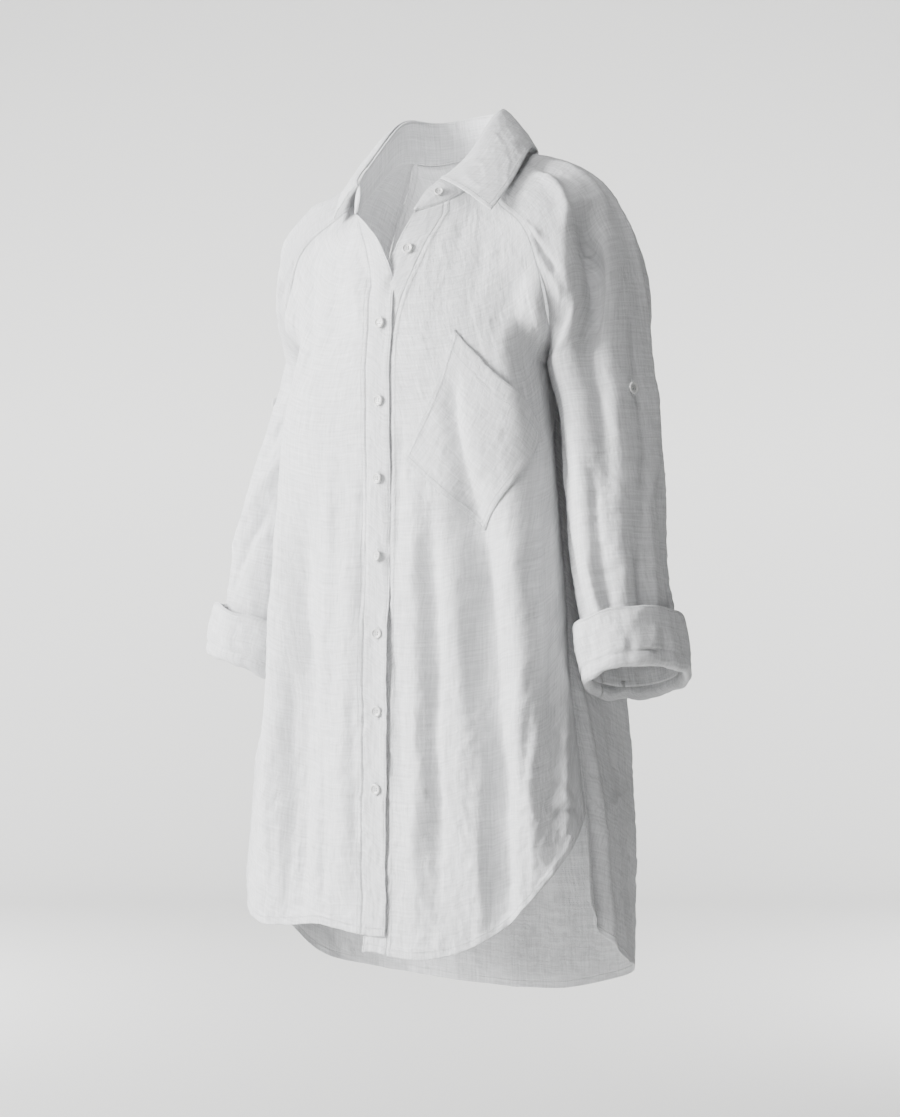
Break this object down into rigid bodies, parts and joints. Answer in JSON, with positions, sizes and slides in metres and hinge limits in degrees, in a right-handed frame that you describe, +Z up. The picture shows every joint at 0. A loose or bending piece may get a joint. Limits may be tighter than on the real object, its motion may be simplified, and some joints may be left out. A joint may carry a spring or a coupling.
{
  "type": "linen shirt",
  "caption": "Long button-through linen shirt with raglan sleeves, turned-up cuffs, a slanted chest pocket and a dipped back hem, in its worn shape with no wearer.",
  "frame": {"origin": "middle of the neck at the height of the neck seam, where the wearer's neck and shoulders hold the shirt", "axes": "+Z up, -Y the front with the buttons, +X the wearer's left, the side of the pocket"},
  "size_m": [0.598, 0.2635, 0.9674],
  "materials": {
    "linen": "plain-woven matt linen, near white",
    "button": "pale pearly button, soft sheen"
  },
  "bodies": {
    "root": {"front_left": "linen", "front_right": "linen", "front_band_left": "linen", "front_band_right": "linen", "back": "linen", "sleeve_left": "linen", "sleeve_right": "linen", "cuff_left": "linen", "cuff_right": "linen", "collar_stand": "linen", "collar_fall": "linen", "pocket": "linen", "button_01": "button", "button_02": "button", "button_03": "button", "button_04": "button", "button_05": "button", "button_06": "button", "button_07": "button", "button_08": "button", "button_09": "button", "sleeve_button_left": "button", "sleeve_button_right": "button"}
  },
  "joints": []
}
